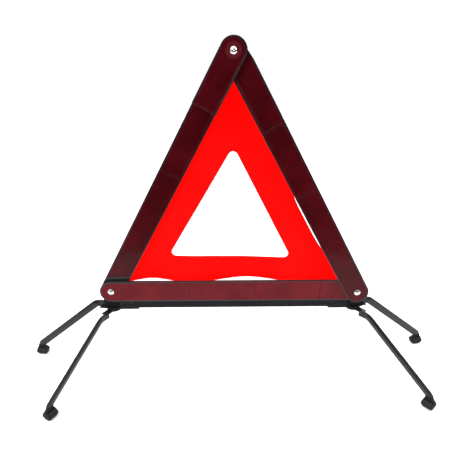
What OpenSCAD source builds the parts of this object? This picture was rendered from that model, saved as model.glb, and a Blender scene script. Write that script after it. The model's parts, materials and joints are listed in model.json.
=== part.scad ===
// Folding warning triangle.
// A base housing and two side housings carry red reflector lenses around a
// fluorescent fabric panel, and four steel legs swivel under the base.
// +X runs to the right of the face, the face looks towards -Y, +Z is up.
// The origin is on the ground, below the centre of the whole footprint.

/* [Triangle] */
// Distance between the two lower pivots
pivot_span = 400; // [340:1:460]
// Height of the apex catch above the lower pivots
apex_rise = 360; // [300:1:420]
// Height of the lower pivots above the ground
pivot_height = 142; // [125:1:175]

/* [Housings] */
// Width of the three reflector housings
housing_w = 36; // [30:0.5:44]
// Thickness of each side housing
arm_t = 5; // [4.5:0.5:8]
// Thickness of the base housing
base_t = 5; // [4.5:0.5:8]
// Width of the black rim around a lens
rim_w = 2; // [1.5:0.25:4]
// Wall left around a backing strip at the back of a housing
housing_wall = 2; // [1:0.25:4]
// Thickness of the steel backing strips
backing_t = 1; // [0.6:0.1:1.5]

/* [Lenses] */
// Thickness of a lens
lens_t = 1.6; // [1:0.1:2]
// Gap all round a lens in its recess
lens_fit = 0.1; // [0.05:0.05:0.3]
// Length of a lens tile
tile_len = 107; // [80:1:120]
// Distance of the base lens's first seam from the left pivot
base_seam = 127; // [60:1:140]
// Distance of the right lens's first seam from its pivot
right_seam = 84; // [60:1:100]
// Width of the seam between two lens tiles
seam_w = 0.6; // [0.3:0.1:1.2]
// Height above the base housing at which the left lens ends
lens_foot_gap = 7; // [2:0.5:15]

/* [Rivets and clearances] */
// Shank radius of the pivot rivets
rivet_r = 3; // [2.5:0.25:4]
// Head radius of the pivot rivets
rivet_head_r = 5; // [4:0.25:6.5]
// Height of a rivet's domed head
rivet_head_h = 1.6; // [1:0.1:2.5]
// Height of a rivet's flat tail
rivet_tail_h = 1.2; // [0.8:0.1:1.8]
// Radial running clearance of a pivot
run_fit = 0.05; // [0.02:0.01:0.1]
// Clearance over a rivet head that a part sweeps across
sweep_gap = 0.5; // [0.3:0.1:1.5]
// Thickness of the washer behind the base housing
washer_t = 0.5; // [0.4:0.1:1.5]
// Outer radius of the pivot washers
washer_r = 8; // [6:0.5:11]

/* [Apex catch] */
// Length of the catch plate below the apex
hood_len = 83; // [60:1:100]
// Thickness of the catch plate
hood_t = 3; // [2.5:0.25:5]
// Thickness of the curved web that joins the plate to the left housing
hood_wall = 2; // [1.5:0.25:3]
// Half of the angle that the curved web covers
hood_half_angle = 28; // [20:1:29]
// Gap between the web and the tip of the right housing
tip_gap = 0.6; // [0.4:0.1:1.5]
// Radius of the press stud's head
stud_head_r = 4.8; // [4:0.1:6]
// Height of the press stud's head
stud_head_h = 2.2; // [1.5:0.1:3]
// Radius of the dimple in the press stud
stud_dimple_r = 1.3; // [1:0.1:1.8]

/* [Panel] */
// Thickness of the fluorescent fabric
panel_t = 0.6; // [0.4:0.1:1.2]
// Gap between the fabric and the pieces around it
panel_gap = 0.3; // [0.2:0.1:1]
// How far the fabric runs behind a side housing
panel_tuck = 9; // [4:1:14]
// Height of the opening's lower edge above the lower pivots
opening_low = 57; // [45:1:80]
// Height of the opening's top above the lower pivots
opening_high = 227; // [180:1:240]
// Width of the opening along its lower edge
opening_w = 198; // [140:1:210]
// Corner radius of the opening
opening_r = 7; // [3:1:15]
// Height of the fabric's lower edge above the lower pivots
panel_low = 14; // [10:1:20]

/* [Rail and brackets] */
// Height of the steel rail under the base housing
rail_h = 12; // [9:0.5:18]
// Sheet thickness of the rail
rail_wall = 1; // [0.8:0.1:1.4]
// Thickness of the bracket plate under the rail
plate_t = 2.5; // [2:0.25:4]
// Radius of the bracket plate around a swivel
plate_r = 13; // [12:0.5:15]
// Length of the tongue that enters the rail
tongue_len = 30; // [20:1:45]

/* [Legs] */
// Distance of the swivels behind the back of the base housing
swivel_back = 4.6; // [4:0.2:8]
// Distance from a swivel to the foot of its leg
leg_run = 147; // [110:1:180]
// Height at which a leg comes upright out of its slope
knee_h = 15; // [14:0.5:30]
// Height of a leg's upright blade
leg_w = 12; // [9:0.5:13]
// Sheet thickness of a leg
leg_t = 1.5; // [1.2:0.1:2]
// Radius of the eye at the root of a leg
eye_r = 12; // [9:0.5:13]
// Direction of the front left leg, forward from sideways
turn_front_left = 60; // [20:1:70]
// Direction of the back left leg, backward from sideways
turn_back_left = 7.5; // [5:1:60]
// Direction of the front right leg, forward from sideways
turn_front_right = 50.5; // [20:1:70]
// Direction of the back right leg, backward from sideways
turn_back_right = 16; // [5:1:60]

/* [Foot caps] */
// Width of a rubber foot cap across its leg
cap_w = 16; // [14:0.5:24]
// Depth of a foot cap along its leg
cap_d = 19; // [17:0.5:26]
// Height of a foot cap
cap_h = 13.5; // [11:0.5:14]
// Thickness of rubber under the end of the leg
cap_sole = 3.5; // [2:0.5:6]

/* [Hidden] */
$fn = 64;
eps = 0.01;
cut_over = 1;

half_w = housing_w / 2;
arm_len = sqrt(pow(pivot_span / 2, 2) + pow(apex_rise, 2));
hood_start = arm_len - hood_len;
base_angle = atan2(apex_rise, pivot_span / 2);
front_gap = rivet_head_h + sweep_gap;

// Depths of the layers, from the back of the base housing at y = 0
left_front_y = washer_t;
left_back_y = left_front_y + arm_t;
base_front_y = -base_t;
right_back_y = base_front_y - front_gap;
right_front_y = right_back_y - arm_t;
hood_back_y = right_front_y - front_gap;
hood_front_y = hood_back_y - hood_t;
panel_front_y = left_back_y + panel_gap;
panel_back_y = panel_front_y + panel_t;
hem_t = 1;
hem_front_y = panel_back_y + panel_gap;
hem_back_y = hem_front_y + hem_t;

tip_r = half_w - hood_wall - tip_gap;
tip_taper = half_w + 4;
boss_r = rivet_head_r + 4;
hood_lens_t = 1.2;
hood_lip = 1;
stud_shank_r = 2.2;
socket_r = 4;
socket_hole_r = 1.2;
socket_h = 1.2;
detent_gap = 0.3;

hem_inset = 50;
hem_rivet_inset = hem_inset + 10;
hem_hole_floor = 1;
hem_hole_depth = arm_t - lens_t - hem_hole_floor;
hem_over = 4;
hem_rivet_r = 1.5;
hem_rivet_head_r = 3;
hem_rivet_count = 4;
hem_w = half_w + 2;

rail_top_z = pivot_height - half_w;
rail_low_z = rail_top_z - rail_h;
plate_low_z = rail_low_z - plate_t;
rail_end = pivot_span / 2 - plate_r;
rail_rivet_r = 1.6;
rail_rivet_head_r = 2.8;
rail_rivet_head_h = 0.8;
rail_rivet_steps = [7, 19];
screw_r = 1.2;
screw_len = min(rim_w, housing_wall) - lens_fit - 0.2;
screw_head_r = 1.4;
screw_head_h = 0.8;
screw_xs = [for (i = [-1.5:1:1.5]) i * pivot_span / 4];
tongue_play = 0.05;

// Swivel stack under a bracket, from the plate down
leg_washer_t = 0.5;
leg_washer_r = 6;
back_eye_z = plate_low_z - leg_washer_t;
front_eye_z = back_eye_z - leg_t - leg_washer_t;
swivel_low_z = front_eye_z - leg_t - run_fit;
swivel_head_r = 5.5;
swivel_head_h = 2;

bend_steps = 10;
cap_play = 0.02;
cap_toe = 1.5;
cap_sole_edge = 2.5;
cap_shoulder = 2.5;
cap_flank = 3;
cap_belt_low = cap_h * 0.4;
cap_belt_high = cap_h * 0.6;
root_bend_r = 18;
foot_bend_r = 9;
blade_step = 0.3;
blade_start = eye_r + 2;
tab_reach = eye_r + 12;
front_flat = eye_r + 14;
back_flat = eye_r + 12;

heading_front_left = 180 + turn_front_left;
heading_back_left = 180 - turn_back_left;
heading_front_right = -turn_front_right;
heading_back_right = turn_back_right;

function foot_x(side, heading) = side * pivot_span / 2 + leg_run * cos(heading);
function foot_y(heading) = swivel_back + leg_run * sin(heading);
function cap_reach_x(heading) = (abs(cos(heading)) * cap_d + abs(sin(heading)) * cap_w) / 2;
function cap_reach_y(heading) = (abs(sin(heading)) * cap_d + abs(cos(heading)) * cap_w) / 2;

feet = [
    [-1, heading_front_left],
    [-1, heading_back_left],
    [1, heading_front_right],
    [1, heading_back_right],
];
x_low = min([for (f = feet) foot_x(f[0], f[1]) - cap_reach_x(f[1])]);
x_high = max([for (f = feet) foot_x(f[0], f[1]) + cap_reach_x(f[1])]);
y_low = min([for (f = feet) foot_y(f[1]) - cap_reach_y(f[1])]);
y_high = max([for (f = feet) foot_y(f[1]) + cap_reach_y(f[1])]);
shift_x = -(x_low + x_high) / 2;
shift_y = -(y_low + y_high) / 2;

// Places a piece in the frame whose origin is under the footprint's centre
module placed() {
    translate([shift_x, shift_y, 0])
        children();
}

// Draws a flat shape in the plane of the face, from y_back forward by t
module face_plate(y_back, t) {
    translate([0, y_back, pivot_height])
        rotate([90, 0, 0])
            linear_extrude(t)
                children();
}

// Turns a flat shape drawn along +x into the left side housing's place
module along_left() {
    translate([-pivot_span / 2, 0])
        rotate(base_angle)
            children();
}

// The mirror image of along_left
module along_right() {
    mirror([1, 0])
        along_left()
            children();
}

module stadium(length, r) {
    circle(r);
    translate([length, 0])
        circle(r);
    translate([0, -r])
        square([length, 2 * r]);
}

module base_outline(r) {
    translate([-pivot_span / 2, 0])
        stadium(pivot_span, r);
}

// Outline of the right side housing, drawn in by inset all round
module right_outline(inset) {
    r = half_w - inset;
    end_r = tip_r - inset;
    circle(r);
    translate([arm_len, 0])
        circle(end_r);
    polygon([
        [0, -r],
        [arm_len - tip_taper, -r],
        [arm_len, -end_r],
        [arm_len, end_r],
        [arm_len - tip_taper, r],
        [0, r],
    ]);
}

// Lens of the left side housing, cut level just above the base housing,
// with its round upper end behind the catch plate
module left_lens_shape(grow) {
    difference() {
        stadium(hood_start, half_w - rim_w + grow);
        rotate(-base_angle)
            translate([-arm_len, half_w + lens_foot_gap - grow - arm_len])
                square([2 * arm_len, arm_len]);
    }
}

module catch_outline(r) {
    translate([hood_start, -r])
        square([hood_len, 2 * r]);
    translate([arm_len, 0])
        circle(r);
}

module catch_lens_shape(grow) {
    r = half_w - rim_w + grow;
    translate([hood_start + hood_lip - grow, -r])
        square([hood_len - hood_lip + grow, 2 * r]);
    translate([arm_len, 0])
        circle(r);
}

// Cross seams that part a lens into tiles, counted from its first pivot
module seams(first, last) {
    for (x = [first:tile_len:last])
        translate([x - seam_w / 2, -half_w])
            square([seam_w, housing_w]);
}

// Steel strip let into the back of a housing between its two bosses
module backing_shape(length, grow) {
    r = half_w - housing_wall + grow;
    difference() {
        translate([boss_r - grow, -r])
            square([length - 2 * boss_r + 2 * grow, 2 * r]);
        circle(boss_r - grow);
        translate([length, 0])
            circle(boss_r - grow);
    }
}

// Shaft along Y from y_back forward by length
module face_pin(x, z, y_back, r, length) {
    translate([x, y_back, pivot_height + z])
        rotate([90, 0, 0])
            cylinder(r = r, h = length);
}

// Domed head of base radius r and height h that swells towards +z
module dome(r, h) {
    ball_r = (r * r + h * h) / (2 * h);
    intersection() {
        translate([0, 0, h - ball_r])
            sphere(r = ball_r, $fn = 96);
        cylinder(r = r, h = h);
    }
}

module face_dome(x, z, y, r, h) {
    translate([x, y, pivot_height + z])
        rotate([90, 0, 0])
            dome(r, h);
}

module base_housing() {
    color("#15161a")
        placed()
            difference() {
                face_plate(0, base_t)
                    base_outline(half_w);
                face_plate(base_front_y + lens_t, lens_t + eps)
                    base_outline(half_w - rim_w + lens_fit);
                face_plate(eps, backing_t + eps)
                    translate([-pivot_span / 2, 0])
                        backing_shape(pivot_span, lens_fit);
                for (side = [-1, 1])
                    face_pin(side * pivot_span / 2, 0, eps, rivet_r, base_t + 2 * eps);
                face_pin(pivot_span / 2, 0, eps, rivet_head_r, rivet_tail_h + eps);
                for (x = screw_xs)
                    translate([x, -base_t / 2, rail_top_z - eps])
                        cylinder(r = screw_r, h = screw_len);
            }
}

module base_lens() {
    color("#7a1420")
        placed()
            difference() {
                face_plate(base_front_y + lens_t, lens_t)
                    difference() {
                        base_outline(half_w - rim_w);
                        translate([-pivot_span / 2, 0])
                            seams(base_seam, pivot_span - half_w);
                    }
                for (side = [-1, 1])
                    face_pin(side * pivot_span / 2, 0, eps, rivet_r, base_t + 2 * eps);
            }
}

module base_backing() {
    color("#8d9096")
        placed()
            face_plate(0, backing_t)
                translate([-pivot_span / 2, 0])
                    backing_shape(pivot_span, 0);
}

// Inverted steel channel under the base housing
module base_rail() {
    color("#2b2d33")
        placed()
            difference() {
                translate([-rail_end, -base_t, rail_low_z])
                    cube([2 * rail_end, base_t, rail_h]);
                translate([-rail_end - eps, rail_wall - base_t, rail_low_z - eps])
                    cube([2 * rail_end + 2 * eps, base_t - 2 * rail_wall, rail_h - rail_wall + eps]);
                for (x = screw_xs)
                    translate([x, -base_t / 2, rail_low_z])
                        cylinder(r = screw_r, h = rail_h + eps);
                rail_rivet_holes();
            }
}

module rail_rivet_holes() {
    for (side = [-1, 1])
        for (step = rail_rivet_steps)
            face_pin(side * (rail_end - step), rail_low_z + rail_h / 2 - pivot_height,
                eps, rail_rivet_r, base_t + 2 * eps);
}

module rail_screws() {
    color("#b9bcc2")
        placed()
            for (x = screw_xs)
                translate([x, -base_t / 2, rail_top_z - rail_wall]) {
                    cylinder(r = screw_r, h = rail_wall + screw_len - eps);
                    translate([0, 0, -screw_head_h])
                        cylinder(r = screw_head_r, h = screw_head_h);
                }
}

module rail_rivets() {
    z = rail_low_z + rail_h / 2 - pivot_height;
    color("#17181b")
        placed()
            for (side = [-1, 1])
                for (step = rail_rivet_steps) {
                    face_pin(side * (rail_end - step), z, 0, rail_rivet_r, base_t);
                    face_dome(side * (rail_end - step), z, -base_t,
                        rail_rivet_head_r, rail_rivet_head_h);
                    face_pin(side * (rail_end - step), z, rail_rivet_head_h,
                        rail_rivet_head_r, rail_rivet_head_h);
                }
}

// Pressed bracket that carries the swivels: plate, lug and rail tongue
module bracket(side) {
    x = side * pivot_span / 2;
    inner = rail_end - tongue_len;
    play = rail_wall + tongue_play;
    color("#17181b")
        placed()
            difference() {
                union() {
                    translate([x, swivel_back, plate_low_z])
                        cylinder(r = plate_r, h = plate_t);
                    translate([min(x, side * inner), -base_t, plate_low_z])
                        cube([abs(x) - inner, base_t, plate_t]);
                    translate([x - plate_r, -base_t, rail_low_z - eps])
                        cube([2 * plate_r, base_t, half_w]);
                    translate([min(side * rail_end, side * inner), play - base_t, rail_low_z - eps])
                        cube([tongue_len, base_t - 2 * play, rail_h - rail_wall - tongue_play]);
                }
                face_pin(x, 0, cut_over, half_w, base_t + 2 * cut_over);
                translate([min(x, 0), -base_t - cut_over, rail_top_z - tongue_play])
                    cube([abs(x), base_t + 2 * cut_over, half_w]);
                translate([x, swivel_back, plate_low_z - eps])
                    cylinder(r = rivet_r, h = plate_t + eps);
                rail_rivet_holes();
            }
}

module left_bracket() {
    bracket(-1);
}

module right_bracket() {
    bracket(1);
}

module left_pivot_rivet() {
    x = -pivot_span / 2;
    tail_y = left_back_y + run_fit + rivet_tail_h;
    color("#d9dbdf")
        placed() {
            face_pin(x, 0, tail_y, rivet_r, tail_y + base_t);
            face_pin(x, 0, tail_y, rivet_head_r, rivet_tail_h);
            face_dome(x, 0, base_front_y, rivet_head_r, rivet_head_h);
        }
}

module right_pivot_rivet() {
    x = pivot_span / 2;
    head_y = right_front_y - run_fit;
    color("#d9dbdf")
        placed() {
            face_pin(x, 0, 0, rivet_r, -head_y);
            face_pin(x, 0, 0, rivet_head_r, rivet_tail_h);
            face_dome(x, 0, head_y, rivet_head_r, rivet_head_h);
        }
}

// Ring around a pivot from y_back forward by t
module pivot_ring(side, y_back, t) {
    color("#c9cbc8")
        placed()
            difference() {
                face_pin(side * pivot_span / 2, 0, y_back, washer_r, t);
                face_pin(side * pivot_span / 2, 0, y_back + eps, rivet_r, t + 2 * eps);
            }
}

module right_pivot_spacer() {
    pivot_ring(1, base_front_y, front_gap - run_fit);
}

module left_pivot_washer() {
    pivot_ring(-1, left_front_y - run_fit, washer_t - run_fit);
}

// Fabric tab that ties the panel's lower right corner to the base housing
module panel_corner_tab() {
    tab_w = 16;
    tab_h = 11;
    tab_t = 0.3;
    tab_inset = 40;
    tab_drop = 2;
    color("#ff2a10")
        placed()
            face_plate(run_fit + tab_t, tab_t)
                translate([pivot_span / 2 - tab_inset, half_w - tab_h - tab_drop])
                    square([tab_w, tab_h]);
}

module left_arm_housing() {
    color("#15161a")
        placed()
            difference() {
                face_plate(left_back_y, arm_t)
                    along_left()
                        stadium(arm_len, half_w);
                face_plate(left_front_y + lens_t, lens_t + eps)
                    along_left()
                        left_lens_shape(lens_fit);
                face_plate(left_back_y + eps, backing_t + eps)
                    along_left()
                        backing_shape(arm_len, lens_fit);
                face_pin(-pivot_span / 2, 0, left_back_y + eps, rivet_r + run_fit, arm_t + 2 * eps);
                face_plate(left_back_y + eps, hem_hole_depth)
                    along_left()
                        hem_points()
                            circle(hem_rivet_r);
            }
}

module left_arm_lens() {
    color("#6a0f1a")
        placed()
            face_plate(left_front_y + lens_t, lens_t)
                along_left()
                    difference() {
                        left_lens_shape(0);
                        seams(hood_start - 2 * tile_len, hood_start - tile_len);
                    }
}

module left_arm_backing() {
    color("#8d9096")
        placed()
            face_plate(left_back_y, backing_t)
                along_left()
                    difference() {
                        backing_shape(arm_len, 0);
                        hem_points()
                            circle(hem_rivet_r);
                    }
}

// Ring sector that closes the catch beyond the right housing's tip
module catch_web_shape() {
    translate([arm_len, 0])
        intersection() {
            difference() {
                circle(half_w);
                circle(half_w - hood_wall);
            }
            polygon([
                [0, 0],
                [housing_w, -housing_w * tan(hood_half_angle)],
                [housing_w, housing_w * tan(hood_half_angle)],
            ]);
        }
}

module apex_catch() {
    color("#15161a")
        placed()
            difference() {
                union() {
                    face_plate(hood_back_y, hood_t)
                        along_left()
                            catch_outline(half_w);
                    face_plate(left_front_y, left_front_y - hood_front_y)
                        along_left()
                            catch_web_shape();
                }
                face_plate(hood_front_y + hood_lens_t, hood_lens_t + eps)
                    along_left()
                        catch_lens_shape(lens_fit);
                face_pin(0, apex_rise, hood_back_y + eps, stud_shank_r, hood_t + 2 * eps);
            }
}

module apex_catch_lens() {
    color("#6a0f1a")
        placed()
            difference() {
                face_plate(hood_front_y + hood_lens_t, hood_lens_t)
                    along_left()
                        catch_lens_shape(0);
                face_pin(0, apex_rise, hood_back_y + eps, stud_shank_r, hood_t + 2 * eps);
            }
}

// Press stud: dimpled head, shank through the catch plate and rounded nose
module apex_stud() {
    nose_h = front_gap - socket_h - detent_gap;
    dimple_out = 0.7;
    color("#e2e4e8")
        placed()
            difference() {
                union() {
                    face_dome(0, apex_rise, hood_front_y, stud_head_r, stud_head_h);
                    face_pin(0, apex_rise, hood_back_y + nose_h, stud_shank_r, hood_t + nose_h);
                }
                translate([0, hood_front_y - stud_head_h - dimple_out, pivot_height + apex_rise])
                    sphere(r = stud_dimple_r);
            }
}

// Socket ring that the stud's nose rests against
module apex_socket() {
    color("#c2c5ca")
        placed()
            difference() {
                face_pin(0, apex_rise, right_front_y, socket_r, socket_h);
                face_pin(0, apex_rise, right_front_y - socket_h / 2, socket_hole_r, socket_h);
            }
}

// Places of the hem rivets along the left side housing
module hem_points() {
    step = (arm_len - 2 * hem_rivet_inset) / (hem_rivet_count - 1);
    for (i = [0:hem_rivet_count - 1])
        translate([hem_rivet_inset + i * step, 0])
            children();
}

module panel_hem_strip() {
    color("#1c1d21")
        placed()
            face_plate(hem_back_y, hem_t)
                along_left()
                    difference() {
                        translate([hem_inset, hem_over - hem_w])
                            square([arm_len - 2 * hem_inset, hem_w]);
                        hem_points()
                            circle(hem_rivet_r);
                    }
}

// Shouldered rivets through the hem strip into the left side housing
module hem_rivets() {
    sink = hem_hole_depth - eps;
    head_h = 0.8;
    color("#b9bcc2")
        placed() {
            face_plate(hem_back_y + head_h, head_h)
                along_left()
                    hem_points()
                        circle(hem_rivet_head_r);
            face_plate(hem_back_y, hem_back_y - left_back_y + sink)
                along_left()
                    hem_points()
                        circle(hem_rivet_r);
            face_plate(hem_front_y, hem_front_y - left_back_y)
                along_left()
                    hem_points()
                        circle(hem_rivet_head_r);
        }
}

module right_arm_housing() {
    color("#15161a")
        placed()
            difference() {
                face_plate(right_back_y, arm_t)
                    along_right()
                        right_outline(0);
                face_plate(right_front_y + lens_t, lens_t + eps)
                    along_right()
                        right_outline(rim_w - lens_fit);
                face_plate(right_back_y + eps, backing_t + eps)
                    along_right()
                        backing_shape(arm_len - tip_taper, lens_fit);
                face_pin(pivot_span / 2, 0, right_back_y + eps, rivet_r + run_fit, arm_t + 2 * eps);
            }
}

module right_arm_lens() {
    color("#6a0f1a")
        placed()
            difference() {
                face_plate(right_front_y + lens_t, lens_t)
                    along_right()
                        difference() {
                            right_outline(rim_w);
                            seams(right_seam, arm_len - tip_taper - half_w);
                        }
                face_pin(pivot_span / 2, 0, right_back_y + eps, rivet_r + run_fit, arm_t + 2 * eps);
            }
}

module right_arm_backing() {
    color("#8d9096")
        placed()
            face_plate(right_back_y, backing_t)
                along_right()
                    backing_shape(arm_len - tip_taper, 0);
}

// Opening of the panel, a triangle with rounded corners
module opening_shape() {
    hull() {
        for (side = [-1, 1])
            translate([side * (opening_w / 2 - opening_r), opening_low + opening_r])
                circle(opening_r);
        translate([0, opening_high - opening_r])
            circle(opening_r);
    }
}

module fluorescent_panel() {
    inner = half_w - panel_tuck;
    rise = apex_rise - inner / cos(base_angle);
    foot = rise / tan(base_angle);
    low_x = foot - panel_low / tan(base_angle);
    color("#ff2a10")
        placed()
            face_plate(panel_back_y, panel_t)
                difference() {
                    polygon([
                        [-low_x, panel_low],
                        [low_x, panel_low],
                        [0, rise],
                    ]);
                    opening_shape();
                }
}

// Slope that lowers a blade by drop between its root bend and its foot bend
function leg_slope(flat, drop) =
    let (across = leg_run - flat - foot_bend_r, down = drop - root_bend_r)
        atan2(down, across) + asin((root_bend_r - foot_bend_r) / norm([across, down]));

// Points of a bend of radius r about (cx, cz), between two downward slopes
function bend_points(cx, cz, r, first, last) = [
    for (i = [0:bend_steps])
        let (turn = first + (last - first) * i / bend_steps)
        [cx + r * sin(turn), cz + r * cos(turn)]
];

// Both bends of one edge of a blade, at a height above its centre line
function blade_edge(flat, drop, above) = concat(
    bend_points(flat, -root_bend_r, root_bend_r + above, 0, leg_slope(flat, drop)),
    bend_points(leg_run - foot_bend_r, -drop, foot_bend_r + above, leg_slope(flat, drop), 90)
);

function reversed(points) = [for (i = [len(points) - 1:-1:0]) points[i]];

// Side view of a blade about its centre line, which is middle_z above the ground
module blade_shape(flat, middle_z) {
    drop = middle_z - knee_h;
    tail = cap_sole - middle_z;
    polygon(concat(
        [[blade_start, -leg_w / 2], [blade_start, leg_w / 2]],
        blade_edge(flat, drop, leg_w / 2),
        [[leg_run + leg_w / 2, tail], [leg_run - leg_w / 2, tail]],
        reversed(blade_edge(flat, drop, -leg_w / 2))
    ));
}

// One leg, with its swivel axis on z and its tab's top face at z = 0:
// a flat tab with the eye, and an upright blade with its middle at blade_z
module leg_shape(flat, eye_z, blade_z) {
    difference() {
        union() {
            translate([0, 0, -leg_t])
                linear_extrude(leg_t) {
                    circle(eye_r);
                    translate([0, -leg_w / 2])
                        square([tab_reach, leg_w]);
                }
            translate([0, leg_t / 2, blade_z])
                rotate([90, 0, 0])
                    linear_extrude(leg_t)
                        blade_shape(flat, eye_z + blade_z);
        }
        translate([0, 0, -leg_t - eps])
            cylinder(r = rivet_r + run_fit, h = leg_t + 2 * eps);
    }
}

// Moves a leg or cap drawn along +x to its swivel and direction
module at_swivel(side, heading, z) {
    placed()
        translate([side * pivot_span / 2, swivel_back, z])
            rotate(heading)
                children();
}

// The blade of a front leg hangs below its tab
module front_leg(side, heading) {
    color("#26282d")
        at_swivel(side, heading, front_eye_z)
            leg_shape(front_flat, front_eye_z, -blade_step - leg_w / 2);
}

// The blade of a back leg stands above its tab, behind the base housing
module back_leg(side, heading) {
    color("#26282d")
        at_swivel(side, heading, back_eye_z)
            leg_shape(back_flat, back_eye_z, leg_w / 2 + blade_step - leg_t);
}

module front_left_leg() {
    front_leg(-1, heading_front_left);
}

module back_left_leg() {
    back_leg(-1, heading_back_left);
}

module front_right_leg() {
    front_leg(1, heading_front_right);
}

module back_right_leg() {
    back_leg(1, heading_back_right);
}

// Rubber cap with a sloping toe and shoulders, and a slot for the leg's end
module foot_cap(side, heading) {
    half_d = cap_d / 2;
    half_cap = cap_w / 2;
    color("#0d0d0f")
        at_swivel(side, heading, 0)
            translate([leg_run, 0, 0])
                difference() {
                    intersection() {
                        rotate([90, 0, 0])
                            translate([0, 0, -half_cap])
                                linear_extrude(cap_w)
                                    polygon([
                                        [cap_toe - half_d, 0],
                                        [half_d - cap_toe, 0],
                                        [half_d, cap_sole_edge],
                                        [half_d, cap_belt_high],
                                        [half_d - cap_shoulder, cap_h],
                                        [cap_toe - half_d, cap_h],
                                        [-half_d, cap_belt_high],
                                        [-half_d, cap_sole_edge],
                                    ]);
                        rotate([90, 0, 90])
                            translate([0, 0, -half_d])
                                linear_extrude(cap_d)
                                    polygon([
                                        [cap_flank - half_cap, 0],
                                        [half_cap - cap_flank, 0],
                                        [half_cap, cap_belt_low],
                                        [half_cap, cap_belt_high],
                                        [half_cap - cap_flank, cap_h],
                                        [cap_flank - half_cap, cap_h],
                                        [-half_cap, cap_belt_high],
                                        [-half_cap, cap_belt_low],
                                    ]);
                    }
                    translate([-leg_w / 2 - cap_play, -leg_t / 2 - cap_play, cap_sole])
                        cube([leg_w + 2 * cap_play, leg_t + 2 * cap_play, cap_h]);
                }
}

module front_left_foot_cap() {
    foot_cap(-1, heading_front_left);
}

module back_left_foot_cap() {
    foot_cap(-1, heading_back_left);
}

module front_right_foot_cap() {
    foot_cap(1, heading_front_right);
}

module back_right_foot_cap() {
    foot_cap(1, heading_back_right);
}

// Rivet that both legs of one side turn on
module swivel_rivet(side) {
    color("#9da0a6")
        at_swivel(side, 0, swivel_low_z) {
            cylinder(r = rivet_r, h = plate_low_z + plate_t - swivel_low_z - eps);
            mirror([0, 0, 1])
                dome(swivel_head_r, swivel_head_h);
        }
}

module left_swivel_rivet() {
    swivel_rivet(-1);
}

module right_swivel_rivet() {
    swivel_rivet(1);
}

// Washer above each of the two leg eyes of one side
module swivel_washers(side) {
    color("#c9cbc8")
        for (eye_z = [back_eye_z, front_eye_z])
            at_swivel(side, 0, eye_z + run_fit)
                difference() {
                    cylinder(r = leg_washer_r, h = leg_washer_t - 2 * run_fit);
                    translate([0, 0, -eps])
                        cylinder(r = rivet_r, h = leg_washer_t + eps);
                }
}

module left_swivel_washers() {
    swivel_washers(-1);
}

module right_swivel_washers() {
    swivel_washers(1);
}

base_housing();
base_lens();
base_backing();
base_rail();
rail_screws();
rail_rivets();
left_bracket();
right_bracket();
left_pivot_rivet();
right_pivot_rivet();
right_pivot_spacer();
left_pivot_washer();
panel_corner_tab();
left_arm_housing();
left_arm_lens();
left_arm_backing();
apex_catch();
apex_catch_lens();
apex_stud();
panel_hem_strip();
hem_rivets();
right_arm_housing();
right_arm_lens();
right_arm_backing();
apex_socket();
fluorescent_panel();
front_left_leg();
back_left_leg();
front_right_leg();
back_right_leg();
front_left_foot_cap();
back_left_foot_cap();
front_right_foot_cap();
back_right_foot_cap();
left_swivel_rivet();
right_swivel_rivet();
left_swivel_washers();
right_swivel_washers();
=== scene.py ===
import json
import math

import bmesh
import bpy
from mathutils import Matrix, Vector, noise


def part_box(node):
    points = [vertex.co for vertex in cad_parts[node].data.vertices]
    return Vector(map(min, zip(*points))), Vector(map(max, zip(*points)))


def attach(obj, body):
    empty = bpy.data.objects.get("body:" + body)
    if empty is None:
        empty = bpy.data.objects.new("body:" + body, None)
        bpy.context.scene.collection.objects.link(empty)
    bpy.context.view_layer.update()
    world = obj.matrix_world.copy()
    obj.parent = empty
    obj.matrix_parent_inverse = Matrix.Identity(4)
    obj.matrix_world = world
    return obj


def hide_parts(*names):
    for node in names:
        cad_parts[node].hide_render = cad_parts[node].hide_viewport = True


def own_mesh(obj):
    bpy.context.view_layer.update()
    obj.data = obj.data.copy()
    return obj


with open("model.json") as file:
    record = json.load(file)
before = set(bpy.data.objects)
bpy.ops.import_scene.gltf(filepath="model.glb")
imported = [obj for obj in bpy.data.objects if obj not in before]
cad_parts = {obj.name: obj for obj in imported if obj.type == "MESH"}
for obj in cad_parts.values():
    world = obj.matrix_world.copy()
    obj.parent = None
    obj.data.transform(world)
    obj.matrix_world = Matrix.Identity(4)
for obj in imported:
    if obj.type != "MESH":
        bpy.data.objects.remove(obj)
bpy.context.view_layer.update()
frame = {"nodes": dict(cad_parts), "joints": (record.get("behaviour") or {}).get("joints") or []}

MM = 0.001
NODES = frame["nodes"]
JOINTS = {joint["name"]: joint for joint in frame["joints"]}


# ---------------------------------------------------------------- places in the frame

def middle(node):
    low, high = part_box(node)
    return (low + high) / 2


def joint_place(name):
    return Vector(JOINTS[name]["pos_m"])


LEFT_PIVOT = joint_place("left_arm_fold")
RIGHT_PIVOT = joint_place("right_arm_fold")
APEX = middle("apex_stud")
HALF_HOUSING = (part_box("base_housing")[1].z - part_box("base_housing")[0].z) / 2
ARM_ANGLE = math.atan2(APEX.z - LEFT_PIVOT.z, APEX.x - LEFT_PIVOT.x)
ARM_DIRECTION = Vector((math.cos(ARM_ANGLE), 0, math.sin(ARM_ANGLE)))
PANEL_LOW, PANEL_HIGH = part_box("fluorescent_panel")

LEGS = {
    "front_left_leg": "front_left_foot_cap",
    "back_left_leg": "back_left_foot_cap",
    "front_right_leg": "front_right_foot_cap",
    "back_right_leg": "back_right_foot_cap",
}


# ---------------------------------------------------------------- node helpers

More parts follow.
